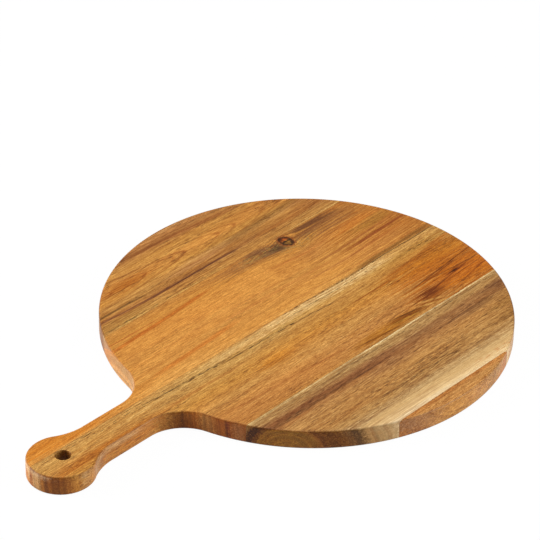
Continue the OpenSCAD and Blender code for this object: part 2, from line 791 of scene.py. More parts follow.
GOLDEN_BROWN = WoodFinish(
    rings=Rings(
        Cut.FLAT,
        x=-116,
        depth=23,
        climb=-0.04,
        spacing=2.2,
        contrast=0.22,
        lines=0.4,
        arches=(45, 27, -8, -20, -50),
    ),
    shades=(
        Shade(-150, "c28c52"),
        Shade(-141, "b97c40"),
        Shade(-130, "c7883e"),
        Shade(-118, "c6863e"),
        Shade(-108, "c68a3e"),
        Shade(-103, "c48b47"),
        Shade(-97, "b87d3a"),
        Shade(-92, "b27538"),
        Shade(-86, "bf8540"),
        Shade(-78, "c18842"),
    ),
    clouds=(
        Cloud(-116, -68, 8, 40, "ad6116", 0.85),
        Cloud(-103, -75, 5, 45, "ca9044", 0.5),
        Cloud(-101, -5, 6, 45, "c8915a", 0.5),
        Cloud(-124, 12, 11, 66, "cd8f40", 0.6),
        Cloud(-85, -100, 6, 40, "a8732f", 0.5),
        Cloud(-110, 125, 40, 42, "a66a34", 0.8),
    ),
    rim_clouds=(
        Cloud(-100, -108, 5, 20, "b0885e", 0.7),
        Cloud(-80, -126, 4, 12, "c09a64", 0.8),
    ),
    streaks=(
        Streak(-136, -65, 78, 3.4, "9a5a28", 0.7, slope=0.07),
        Streak(-105.5, 15, 125, 3.6, "8c5c26", 0.6, slope=-0.07),
        Streak(-91.5, 40, 130, 3.4, "96581f", 0.6),
        Streak(-90.3, -75, 25, 1.5, "693a24", 0.9),
        Streak(-91, -130, -40, 1.3, "744226", 0.8, slope=0.03),
        Streak(-97, -130, -70, 1.7, "6c4820", 0.8),
        Streak(-81.4, -125, -15, 1.2, "54401c", 0.75, broken=0.9),
        Streak(-80, -120, -10, 0.8, "dcb462", 0.7, broken=0.9),
        Streak(-79.5, 60, 130, 0.8, "dcac60", 0.6),
        Streak(-85.5, -120, 120, 0.9, "9a642c", 0.55),
    ),
    wander=1.6,
    pores=0.6,
    pore_share=0.45,
    end_tint="d4c2a0",
    seed=2.3,
)
LIGHT_ORANGE = WoodFinish(
    rings=Rings(Cut.FLAT, x=-46, depth=60, climb=-0.05, spacing=4, contrast=0.1, lines=0.16),
    shades=(
        Shade(-79, "c4853c"),
        Shade(-66, "cd8b3b"),
        Shade(-58, "d49040"),
        Shade(-30, "d38f40"),
        Shade(-14, "d49242"),
        Shade(-6, "d8994a"),
    ),
    clouds=(
        Cloud(-40, 138, 62, 80, "ad6624", 0.9),
        Cloud(-52, 110, 5, 26, "c87628", 0.75),
        Cloud(-45, 122, 6, 28, "a8742c", 0.75),
        Cloud(-20, 100, 12, 40, "bd7c3c", 0.5),
        Cloud(-67, 98, 14, 36, "8f5a2e", 0.85),
        Cloud(-75, 90, 5, 30, "663a1e", 0.85),
        Cloud(-69, 72, 5, 16, "784824", 0.6),
        Cloud(-62, 64, 4, 12, "ae7c38", 0.5),
        Cloud(-52, 60, 12, 24, "b4783c", 0.6),
        Cloud(-71, 14, 10, 40, "986336", 0.65),
        Cloud(-70, 38, 7, 16, "68402a", 0.8),
        Cloud(-69.5, 44.5, 4.5, 9, "46240f", 0.85),
        Cloud(-75.5, 26, 4, 16, "6a452e", 0.75),
        Cloud(-9, -115, 8, 40, "e0a252", 0.6),
        Cloud(-14, -225, 14, 75, "cf7a1e", 0.85),
    ),
    rim_clouds=(
        Cloud(-40, -145, 20, 14, "c99a60", 0.95),
        Cloud(-66, -133, 10, 12, "a97f54", 0.95),
        Cloud(-76, -128, 4, 10, "c39a62", 0.8),
        Cloud(-12, -264, 9, 20, "e2b680", 0.95),
    ),
    streaks=(
        Streak(-65, 36, 78, 5.0, "9a804e", 0.5, broken=1.0, dash=3.0),
        Streak(-72, 0, 48, 5.5, "5c4430", 0.6, broken=1.0, dash=3.0),
        Streak(-72, 8, 44, 5.0, "b49850", 0.5, broken=1.0, dash=3.4),
        Streak(-63.5, -140, -38, 2.8, "bb641c", 0.8, slope=-0.06),
        Streak(-67.5, -140, -80, 0.9, "b05c22", 0.7),
        Streak(-21.5, -135, -52, 3.2, "c66e22", 0.7, slope=-0.07),
        Streak(-32, 82, 150, 1.8, "8c4219", 0.8),
        Streak(-37, 55, 135, 1.6, "a05a28", 0.6),
        Streak(-25, 30, 125, 1.8, "ac662e", 0.55),
        Streak(-14, 0, 90, 1.4, "b47032", 0.5),
        Streak(-10, 66, 150, 2.8, "7c501e", 0.75),
        Streak(-7, 75, 150, 0.7, "4c3016", 0.7),
        Streak(-53, 20, 80, 1.6, "b96c30", 0.5),
        Streak(-31, -60, 60, 1.8, "c27836", 0.5),
        Streak(-47, -150, -40, 1.2, "c07634", 0.4),
        Streak(-38, -120, 10, 1.2, "c07634", 0.4),
    ),
    knot=Knot(-70.5, 55.4, 6.3, 5.2, 9, "b85a1a", "a4702e", "2a160c", "86451c"),
    wander=1.4,
    stripes=0.15,
    lines=0.65,
    fibre=1.9,
    grit=1.2,
    bands=0.2,
    hue=0.25,
    pores=0.4,
    pore_share=0.25,
    end_tint="f2e6d4",
    seed=5.9,
)
ORANGE_HEART = WoodFinish(
    rings=Rings(Cut.QUARTER, lean=0.12, spacing=2.6, contrast=0.16, lines=0.25),
    shades=(
        Shade(-7, "c6914a"),
        Shade(-3, "cd9b54"),
        Shade(3, "c8964e"),
        Shade(9, "c8924a"),
        Shade(14, "c48a40"),
        Shade(22, "c6883a"),
        Shade(36, "cc8e45"),
        Shade(50, "c58642"),
        Shade(60, "be8140"),
        Shade(66, "c08642"),
    ),
    clouds=(
        Cloud(44, 122, 46, 62, "ba640a", 0.95),
        Cloud(20, 116, 12, 56, "ba701c", 0.85),
        Cloud(5, 112, 8, 45, "bd8638", 0.75),
        Cloud(9, 82, 6, 34, "b97f36", 0.6),
        Cloud(60, 22, 9, 46, "ad6a14", 0.85),
        Cloud(28, -60, 7, 22, "c57a20", 0.7),
        Cloud(53, 77, 8, 20, "8a440a", 0.95),
        Cloud(51, 79, 4, 11, "6e3208", 0.8),
        Cloud(45, 113, 3, 14, "94440e", 0.7),
        Cloud(45.2, 113, 1.5, 6, "2c0c02", 1.0),
        Cloud(4, -190, 8, 60, "c48840", 0.6),
        Cloud(-4, -225, 4, 70, "ca944c", 0.8),
        Cloud(13, -215, 7, 75, "b66c22", 0.9),
        Cloud(24, -245, 8, 40, "bd7c30", 0.7),
    ),
    rim_clouds=(
        Cloud(0, -244, 11, 14, "7a5024", 0.9),
        Cloud(-1.5, -270, 4.5, 12, "c4965f", 0.95),
        Cloud(6.8, -269, 1.6, 10, "5e2c12", 0.65),
        Cloud(15, -263, 8, 12, "98561a", 0.95),
        Cloud(23.5, -246, 3, 8, "c49258", 0.9),
        Cloud(17, -231, 4, 8, "ba8648", 0.8),
        Cloud(14.5, -195, 4, 30, "ce7d2c", 0.85),
        # Painted sheen: the upper half of the neck's right wall and the top of the handle's end are paler
        Cloud(14.5, -208, 5, 36, "cb9c66", 0.9, sheen_above=10),
        Cloud(-1, -269, 14, 10, "d2b08a", 0.6, sheen_above=11.5),
        Cloud(22, -158, 7, 14, "7c4208", 1.0),
        Cloud(38, -147, 9, 8, "ba7c3a", 0.9),
        Cloud(52.5, -141, 2.2, 6, "6a2c14", 0.85),
        Cloud(60, -138, 6, 6, "ab6d3c", 0.85),
    ),
    streaks=(
        Streak(-1.8, -100, 90, 4.2, "e2ba78", 0.6, broken=0.4),
        Streak(-2.6, -40, 85, 3.6, "f0c98a", 0.9, broken=0.6, dash=7.0),
        Streak(1.4, -60, 70, 2.6, "eac080", 0.65, broken=0.8, dash=7.0),
        Streak(-5.2, -25, 88, 1.0, "342212", 0.9, broken=1.0, dash=4.0),
        Streak(-0.6, -40, 75, 1.0, "4c3418", 0.75, broken=1.0, dash=4.0),
        Streak(-5.9, -55, 0, 0.7, "3a2616", 0.9, broken=0.9),
        Streak(-6, 70, 150, 0.7, "4a2e14", 0.8),
        Streak(4, 95, 135, 1.4, "57401c", 0.8, broken=1.0),
        Streak(4.3, -160, 20, 1.0, "3c2812", 0.95, broken=0.75, slope=0.052),
        Streak(1.4, -150, -60, 0.8, "3c2812", 0.85, broken=0.9, slope=0.03),
        Streak(-4.0, -272, -135, 0.5, "33200c", 0.8, broken=1.0, dash=4.0, slope=0.012),
        Streak(-2.0, -272, -150, 0.6, "33200c", 0.9, broken=1.0, dash=4.0, slope=0.02),
        Streak(0.2, -215, -150, 0.6, "3a240e", 0.8, broken=1.0, dash=4.0, slope=0.02),
        Streak(3.4, -200, -120, 1.6, "d8a860", 0.5),
        Streak(20, 28, 72, 1.0, "92480f", 0.8),
        Streak(14, 62, 150, 4.0, "a85c12", 0.5, slope=-0.12),
        Streak(35.4, 72, 150, 0.9, "7a3a0c", 0.85, slope=-0.11),
        Streak(37.8, 80, 130, 0.7, "8a4410", 0.75, slope=-0.12),
        Streak(56, 98, 145, 0.8, "86400e", 0.75, slope=-0.16),
        Streak(64.3, 95, 138, 0.7, "8a4410", 0.7, slope=-0.03),
        Streak(47, 76, 140, 1.0, "7e380a", 0.75, slope=-0.14),
        Streak(58.5, 24, 62, 3.2, "86480a", 0.9, slope=0.08),
        Streak(61.4, -10, 32, 1.1, "7a4408", 0.85, slope=0.1),
        Streak(56.6, 30, 58, 0.9, "5e3006", 0.85, slope=0.14),
        Streak(60.4, 28, 54, 0.8, "c08a30", 0.7, slope=0.12),
        Streak(54.5, 56, 80, 1.4, "8e4c10", 0.7, slope=0.36),
        Streak(57, 58, 78, 1.6, "d49c4c", 0.5, slope=0.36),
        Streak(59.5, 58, 80, 1.4, "955414", 0.75, slope=0.36),
        Streak(50.5, 70, 96, 0.8, "6e3208", 0.8, slope=-0.2),
        Streak(54, 68, 92, 0.8, "7a3c0c", 0.8, slope=-0.12),
        Streak(58.5, 66, 90, 0.9, "86480f", 0.7, slope=-0.1),
        Streak(41.5, 88, 140, 0.7, "7e3c0c", 0.8, slope=0.09),
        Streak(49.5, 95, 138, 0.7, "84400e", 0.75, slope=-0.07),
        Streak(61.5, 58, 78, 1.2, "d8a250", 0.55, slope=0.36),
        Streak(50, -135, -25, 1.8, "aa682e", 0.65, slope=0.06),
        Streak(13.5, -155, -80, 1.6, "ad6a2c", 0.6, slope=0.03),
        Streak(38, -135, -75, 1.4, "ae6c2f", 0.5),
        Streak(15, -240, -165, 1.6, "a0601f", 0.6),
    ),
    wander=1.5,
    stripes=0.2,
    lines=0.75,
    fibre=2.2,
    grit=1.4,
    pores=0.6,
    pore_share=0.4,
    end_tint="cda880",
    seed=9.1,
)
BROWN_TO_CREAM = WoodFinish(
    rings=Rings(Cut.FLAT, x=90, depth=16, spacing=2.6, contrast=0.2, lines=0.35),
    shades=(
        Shade(65, "c8a468"),
        Shade(69, "ba8f56"),
        Shade(73, "bc8f54"),
        Shade(78, "aa7744"),
        Shade(84, "aa723c"),
        Shade(90, "be884a"),
        Shade(104, "c18a49"),
        Shade(112, "b9884b"),
        Shade(122, "c49a62"),
        Shade(128, "d9b074"),
        Shade(133, "e6c188"),
        Shade(138, "eccd9c"),
    ),
    clouds=(
        Cloud(86, 88, 5, 34, "744c2c", 0.75),
        Cloud(80, 120, 6, 18, "74482c", 0.8),
        Cloud(89, -8, 7, 34, "8e5c34", 0.75),
        Cloud(84, 40, 8, 60, "98663a", 0.6),
        Cloud(103, 115, 24, 34, "926128", 0.7),
    ),
    rim_clouds=(
        Cloud(68, -134, 3, 10, "8a6230", 0.8),
        Cloud(74, -131, 4.5, 12, "3e1c04", 1.0),
        Cloud(89, -121, 13, 30, "9e6a24", 0.95),
        Cloud(111, -102, 12, 30, "6a3a02", 1.0),
        Cloud(122.5, -87, 5, 20, "674722", 0.95),
        Cloud(133, -73, 6, 30, "bc9662", 0.95),
        Cloud(135.6, -69, 0.8, 2, "3a2010", 0.9),
    ),
    streaks=(
        Streak(66.5, -20, 145, 1.1, "eaca90", 0.9),
        Streak(66.6, -140, -10, 0.9, "d6b27a", 0.6, broken=0.5),
        Streak(69.8, -40, 135, 0.9, "5c4222", 0.8, broken=0.9),
        Streak(70.5, -130, 0, 1.2, "6e5430", 0.5, broken=0.95),
        Streak(79.5, -155, 8, 6.0, "8a552e", 0.75),
        Streak(82, -135, -40, 2.2, "4c321c", 0.75, broken=0.7),
        Streak(83, -45, -8, 1.4, "5a3420", 0.85, broken=0.35),
        Streak(111.5, -40, 40, 2.0, "5e4024", 0.75, broken=0.95),
        Streak(104, -60, 60, 5.0, "6b4626", 0.6, broken=1.0),
        Streak(131, 30, 80, 3.0, "c87f3c", 0.6, broken=1.0),
    ),
    wander=1.5,
    lines=1.2,
    fibre=1.8,
    grit=1.1,
    hue=0.25,
    pores=0.6,
    pore_share=0.6,
    pores_end=130.0,
    end_tint="c4a074",
    seed=13.7,
)
STRAIGHT_ORANGE = WoodFinish(
    rings=Rings(Cut.QUARTER, lean=0.4, spacing=2.4, contrast=0.15, lines=0.3),
    shades=(Shade(138, "bd7a3a"), Shade(143, "c88c4a"), Shade(150, "c48a4a")),
    rim_clouds=(
        Cloud(143, -56, 12, 34, "a2704a", 0.9),
        Cloud(149, -8, 8, 22, "c98a3c", 0.7),
        Cloud(146, 42, 10, 26, "ac7c42", 0.85),
    ),
    wander=1.0,
    stripes=0.15,
    lines=0.4,
    fibre=2.4,
    grit=1.8,
    end_tint="d2bea4",
    seed=17.3,
)


@dataclass(frozen=True)
class BoardSizes:
    """Sizes of the board, in metres.

    Attributes:
        round_r: Radius of the round.
        thickness: Thickness of the board.
        end_y: Place of the middle of the handle's round end.
        hole_y: Place of the middle of the hanging hole.
        hole_r: Radius of the hanging hole.
        end_r: Radius of the handle's round end.
        neck_r: Half width of the neck.
        shoulder_r: Radius of the inside curves between the round and the neck.
        waist_r: Radius of the inside curves between the neck and the round end.
        edge_r: Radius of the eased edge.
        hole_edge: Width of the eased rim of the hole.
    """

    round_r: float
    thickness: float
    end_y: float
    hole_y: float
    hole_r: float
    end_r: float = 24 * MM
    neck_r: float = 14.5 * MM
    shoulder_r: float = 31 * MM
    waist_r: float = 41 * MM
    edge_r: float = 1.75 * MM
    hole_edge: float = 0.5 * MM

    @classmethod
    def from_frame(cls) -> "BoardSizes":
        """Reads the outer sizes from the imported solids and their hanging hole.

        Returns:
            The sizes.
        """
        low, high = ([round(c / MM, 1) * MM for c in corner] for corner in cad_box)
        hole = next(m for m in frame["record"]["mounts"] if m["name"] == "hanging_hole")
        return cls(high[0], high[2], low[1] + cls.end_r, hole["pos_m"][1], hole["dims"]["r_mm"] * MM)


class Bend(Enum):
    """Which way a stretch of the outline curves."""

    BULGE = "outwards"
    HOLLOW = "inwards"


@dataclass(frozen=True)
class Arc:
    """Stretch of a circle in the board's outline.

    Attributes:
        x: Place of its middle across the board.
        y: Place of its middle along the board.
        radius: Its radius.
        start: Angle at which it starts.
        end: Angle at which it ends.
        bend: Which way it curves.
    """

    x: float
    y: float
    radius: float
    start: float
    end: float
    bend: Bend = Bend.BULGE

    def reach(self, inset: float) -> float:
        """Gives the radius at an inset, which widens a hollow."""
        return self.radius + inset if self.bend is Bend.HOLLOW else self.radius - inset

    def lower_angle(self, x: float, inset: float) -> float:
        """Gives the angle at which the lower half of the circle crosses a line along the grain."""
        return 2 * math.pi - math.acos((x - self.x) / self.reach(inset))

    def crossed(self, x: float) -> bool:
        """Says whether a line along the grain crosses the lower half of this arc.

        Args:
            x: Place of the line.

        Returns:
            True if it does.
        """
        if self.bend is Bend.HOLLOW or abs(x - self.x) >= self.radius:
            return False
        return self.start <= self.lower_angle(x, 0) <= self.end


@dataclass(frozen=True)
class Curve:
    """Curved stretch of a stave's outline.

    Attributes:
        arc: The arc that it is a part of.
        start: Angle at which it starts.
        end: Angle at which it ends.
        inset: How far inside the board's outline it lies.
    """

    arc: Arc
    start: float
    end: float
    inset: float

    def at(self, shares: np.ndarray) -> np.ndarray:
        """Places points along the stretch.

        Args:
            shares: How far along each point lies, from 0 to 1.

        Returns:
            The points, one row each.
        """
        angles = self.start + (self.end - self.start) * shares
        reach = self.arc.reach(self.inset)
        return np.column_stack((self.arc.x + reach * np.cos(angles), self.arc.y + reach * np.sin(angles)))

    def divisions(self, step: float, turn_step: float) -> float:
        """Gives the number of points for a longest distance and a widest angle between them."""
        turn = abs(self.end - self.start)
        return max(turn * self.arc.radius / step, turn / turn_step)


@dataclass(frozen=True)
class Straight:
    """Straight stretch of a stave's outline.

    Attributes:
        here: Point at which it starts.
        there: Point at which it ends.
    """

    here: np.ndarray
    there: np.ndarray

    def at(self, shares: np.ndarray) -> np.ndarray:
        """Places points along the stretch, each at its share of the way."""
        return self.here + (self.there - self.here) * shares[:, None]

    def divisions(self, step: float, _: float) -> float:
        """Gives the number of points for a longest distance between them."""
        return float(np.linalg.norm(self.there - self.here)) / step


class Outline:
    """Plan of the board, from which any inset of any stave can be drawn.

    Attributes:
        step: Longest distance between two points.
        turn_step: Widest angle between two points of a curve.
        touch: Distance up to which the ends of two stretches count as one point.
        rim_play: How near to the rim the side of a stave counts as rim and not as seam.
    """

    step = 1.2 * MM
    turn_step = math.radians(1.5)
    touch = 0.002 * MM
    rim_play = 1 * MM

    def __init__(self, sizes: BoardSizes) -> None:
        """Works out the curves on the near side, from the left rim round the handle to the right rim.

        Args:
            sizes: Sizes of the board.
        """
        s = sizes
        shoulder_x = s.neck_r + s.shoulder_r
        shoulder_y = -math.sqrt((s.round_r + s.shoulder_r) ** 2 - shoulder_x ** 2)
        waist_x = s.neck_r + s.waist_r
        waist_y = s.end_y + math.sqrt((s.end_r + s.waist_r) ** 2 - waist_x ** 2)
        turn = math.atan2(-shoulder_y, shoulder_x)
        flare = math.atan2(waist_y - s.end_y, waist_x)
        half, full = math.pi, 2 * math.pi
        self.near = (
            Arc(0, 0, s.round_r, half, half + turn),
            Arc(-shoulder_x, shoulder_y, s.shoulder_r, turn, 0, Bend.HOLLOW),
            Arc(-waist_x, waist_y, s.waist_r, 0, -flare, Bend.HOLLOW),
            Arc(0, s.end_y, s.end_r, half - flare, full + flare),
            Arc(waist_x, waist_y, s.waist_r, half + flare, half, Bend.HOLLOW),
            Arc(shoulder_x, shoulder_y, s.shoulder_r, half, half - turn, Bend.HOLLOW),
            Arc(0, 0, s.round_r, full - turn, full),
        )
        self.far = Arc(0, 0, s.round_r, 0, half)

    def at_rim(self, x: float) -> bool:
        """Says whether a stave that reaches this far across the board ends at its rim."""
        return abs(x) > self.far.radius - self.rim_play

    def crossing(self, x: float, inset: float) -> tuple[int, float]:
        """Finds where a line along the grain leaves the near side.

        Args:
            x: Place of the line.
            inset: How far inside the outline.

        Returns:
            Number of the arc, and the angle on it.
        """
        found = next(n for n, arc in enumerate(self.near) if arc.crossed(x))
        return found, self.near[found].lower_angle(x, inset)

    def ends(self, x: float, inset: float) -> tuple[float, float]:
        """Measures a line along the grain.

        Args:
            x: Place of the line.
            inset: How far inside the outline.

        Returns:
            Place along the board of its near end, and of its far end.
        """
        number, angle = self.crossing(x, inset)
        arc = self.near[number]
        return arc.y + arc.reach(inset) * math.sin(angle), math.sqrt(self.far.reach(inset) ** 2 - x ** 2)

    def runs(self, left: float | None, right: float | None, inset: float) -> list[Curve | Straight]:
        """Splits a stave's outline into stretches, anticlockwise from the right of the far rim.

        Args:
            left: Place of its left seam, or None at the rim.
            right: Place of its right seam, or None at the rim.
            inset: How far inside the outline.

        Returns:
            The stretches.
        """
        reach = self.far.reach(inset)
        start = 0.0 if right is None else math.acos(right / reach)
        end = math.pi if left is None else math.acos(left / reach)
        first, first_angle = (0, math.pi) if left is None else self.crossing(left, inset)
        last, last_angle = (len(self.near) - 1, 2 * math.pi) if right is None else self.crossing(right, inset)
        curves = [Curve(self.far, start, end, inset)]
        for n in range(first, last + 1):
            arc = self.near[n]
            begin = first_angle if n == first else arc.start
            stop = last_angle if n == last else arc.end
            curves.append(Curve(arc, begin, stop, inset))
        found: list[Curve | Straight] = []
        for curve, after in zip(curves, curves[1:] + curves[:1]):
            found.append(curve)
            here, there = curve.at(np.ones(1))[0], after.at(np.zeros(1))[0]
            if np.linalg.norm(there - here) > self.touch:
                found.append(Straight(here, there))
        return found

    def shares(self, left: float | None, right: float | None) -> list[np.ndarray]:
        """Decides how each stretch of a stave's outline is divided, the same for every inset.

        Args:
            left: Place of its left seam, or None at the rim.
            right: Place of its right seam, or None at the rim.

        Returns:
            For each stretch, how far along it each point lies.
        """
        counts = [run.divisions(self.step, self.turn_step) for run in self.runs(left, right, 0.0)]
        return [np.linspace(0, 1, max(2, math.ceil(count)), endpoint=False) for count in counts]

    def loop(
        self, left: float | None, right: float | None, inset: float, shares: list[np.ndarray]
    ) -> np.ndarray:
        """Draws a stave's outline at one inset.

        Args:
            left: Place of its left seam, or None at the rim.
            right: Place of its right seam, or None at the rim.
            inset: How far inside the outline.
            shares: How each stretch is divided.

        Returns:
            The points, anticlockwise, one row each.
        """
        runs = self.runs(left, right, inset)
        return np.concatenate([run.at(share) for run, share in zip(runs, shares, strict=True)])


def inside(points: np.ndarray, loop: np.ndarray) -> np.ndarray:
    """Says which points lie inside a closed loop.

    Args:
        points: The points, one row each.
        loop: Corners of the loop in order.

    Returns:
        True for each point inside.
    """
    here, there = loop, np.roll(loop, -1, axis=0)
    spans = (here[:, 1] > points[:, 1, None]) != (there[:, 1] > points[:, 1, None])
    rise = np.where(there[:, 1] == here[:, 1], 1.0, there[:, 1] - here[:, 1])
    crossing = here[:, 0] + (there[:, 0] - here[:, 0]) * (points[:, 1, None] - here[:, 1]) / rise
    return np.count_nonzero(spans & (points[:, 0, None] < crossing), axis=1) % 2 == 1


class ShapeTree:
    """Geometry nodes with named inputs, which shape a piece and dress it.

    Attributes:
        name: Name of the tree.
        inputs: Its inputs between the geometry and the finish, with their kinds.
    """

    name: str
    inputs: dict[str, str]

    def __init__(self) -> None:
        """Builds the tree."""
        self.tree = bpy.data.node_groups.new(self.name, "GeometryNodeTree")
        face = self.tree.interface
        for label, kind in {"Geometry": "Geometry", **self.inputs, "Finish": "Material"}.items():
            face.new_socket(label, in_out="INPUT", socket_type=f"NodeSocket{kind}")
        face.new_socket("Geometry", in_out="OUTPUT", socket_type="NodeSocketGeometry")
        bench = NodeBench(self.tree)
        given = {socket.name: Wire(bench, socket) for socket in bench.node("NodeGroupInput").outputs}
        whole = bench.node("GeometryNodeRealizeInstances", {0: self.shape(bench, given)})
        feeds = {"Geometry": whole.outputs[0], "Material": given["Finish"]}
        dressed = bench.node("GeometryNodeSetMaterial", feeds)
        bench.node("NodeGroupOutput", {0: dressed.outputs[0]})

    def shape(self, bench: NodeBench, given: dict[str, Wire]) -> bpy.types.NodeSocket:
        """Adds the nodes that give the piece its shape.

        Args:
            bench: Bench of the tree.
            given: Its inputs.

        Returns:
            The shaped geometry.
        """
        raise NotImplementedError

    def grow(self, piece: bpy.types.Object, values: dict[str, Any]) -> None:
        """Runs a piece's mesh through the nodes and keeps the result as its plain mesh.

        Args:
            piece: The piece.
            values: Value of each named input.
        """
        modifier = piece.modifiers.new(self.name, "NODES")
        modifier.node_group = self.tree
        for item in self.tree.interface.items_tree:
            if item.in_out == "INPUT" and item.name in values:
                modifier[item.identifier] = values[item.name]
        bpy.context.view_layer.update()
        shaped = piece.evaluated_get(bpy.context.evaluated_depsgraph_get())
        mesh = bpy.data.meshes.new_from_object(shaped)
        piece.modifiers.remove(modifier)
        rough = piece.data
        piece.data = mesh
        bpy.data.meshes.remove(rough)
        mesh.name = piece.name


class ReliefTree(ShapeTree):
    """Nodes that give a planed face its faint waves and let a knot sink into it."""

    name = "sanded_relief"
    inputs = {
        "Wave width": "Float",
        "Wave length": "Float",
        "Wave height": "Float",
        "Knot reach": "Float",
        "Knot depth": "Float",
        "Seed": "Float",
        "Knot place": "Vector",
    }

    def shape(self, bench: NodeBench, given: dict[str, Wire]) -> bpy.types.NodeSocket:
        """Adds the nodes that move the flats and leave the eased edges and the walls.

        Args:
            bench: Bench of the tree.
            given: Its inputs.

        Returns:
            The moved geometry.
        """
        place = bench.node("GeometryNodeInputPosition").outputs[0]
        normal = bench.node("GeometryNodeInputNormal").outputs[0]
        size = bench.join(given["Wave width"], given["Wave length"], given["Wave width"])
        where = bench.vector("ADD", bench.vector("DIVIDE", place, size), bench.join(given["Seed"], 0.0))
        wave = bench.noise(where, detail=1.0)
        away = bench.vector("MULTIPLY", bench.vector("SUBTRACT", place, given["Knot place"]), (1.0, 0.8, 0.0))
        sunk = bench.ease(bench.length(away), 0.0, given["Knot reach"], 1.0, 0.0)
        rise = (wave - 1.0) * given["Wave height"] - sunk * given["Knot depth"]
        _, _, up = bench.split(normal)
        flat = bench.ease(abs(up), 0.995, 0.9999)
        feeds = {"Geometry": given["Geometry"], "Offset": bench.scaled(normal, rise * flat)}
        return bench.node("GeometryNodeSetPosition", feeds).outputs[0]


class FilmTree(ShapeTree):
    """Nodes that fill the section of a seam and give it the thickness of the glue."""

    name = "glue_film"
    inputs = {"Thickness": "Float", "Seam": "Float"}

    def shape(self, bench: NodeBench, given: dict[str, Wire]) -> bpy.types.NodeSocket:
        """Adds the nodes that fill the section, thicken it and stand it in its seam.

        Args:
            bench: Bench of the tree.
            given: Its inputs.

        Returns:
            The closed film.
        """
        section = bench.node("GeometryNodeMeshToCurve", {0: given["Geometry"]})
        sheet = bench.node("GeometryNodeFillCurve", {"Curve": section.outputs[0]})
        raised = bench.node("GeometryNodeExtrudeMesh", {
            "Mesh": sheet.outputs[0],
            "Offset": bench.join(0.0, 0.0, given["Thickness"]),
            "Offset Scale": 1.0,
            "Individual": False,
        })
        back = bench.node("GeometryNodeFlipFaces", {0: sheet.outputs[0]})
        joined = bench.node("GeometryNodeJoinGeometry", {0: raised.outputs[0]})
        bench.feed(joined.inputs[0], back.outputs[0])
        welded = bench.node("GeometryNodeMergeByDistance", {"Geometry": joined.outputs[0], "Distance": 1e-6})
        stood = bench.node("GeometryNodeTransform", {
            "Geometry": welded.outputs[0],
            "Rotation": (math.pi / 2, 0.0, math.pi / 2),
            "Translation": bench.join(given["Seam"] + given["Thickness"] * -0.5, 0.0),
        })
        return stood.outputs[0]


def eased_corner(radius: float, steps: int) -> list[tuple[float, float]]:
    """Divides an eased edge into steps, from the flat round to the wall.

    Args:
        radius: Radius of the edge.
        steps: Number of steps.

    Returns:
        How far each point lies inside the wall, and how far under the flat.
    """
    turns = np.linspace(0, math.pi / 2, steps + 1)
    return [(radius * (1 - math.sin(turn)), radius * (1 - math.cos(turn))) for turn in turns]


def eased_wall(radius: float, steps: int, rows: int, thickness: float) -> list[tuple[float, float]]:
    """Divides a wall between two eased edges, from the top down.

    Args:
        radius: Radius of the edges.
        steps: Number of steps across each edge.
        rows: Number of rows of faces on the wall between them.
        thickness: Height of the wall with its edges.

    Returns:
        How far each loop lies inside the wall, and its height.
    """
    upper = [(inset, thickness - drop) for inset, drop in eased_corner(radius, steps)]
    walls = [(0.0, float(z)) for z in np.linspace(thickness - radius, radius, rows + 1)[1:-1]]
    lower = [(inset, thickness - z) for inset, z in reversed(upper)]
    return [*upper, *walls, *lower]


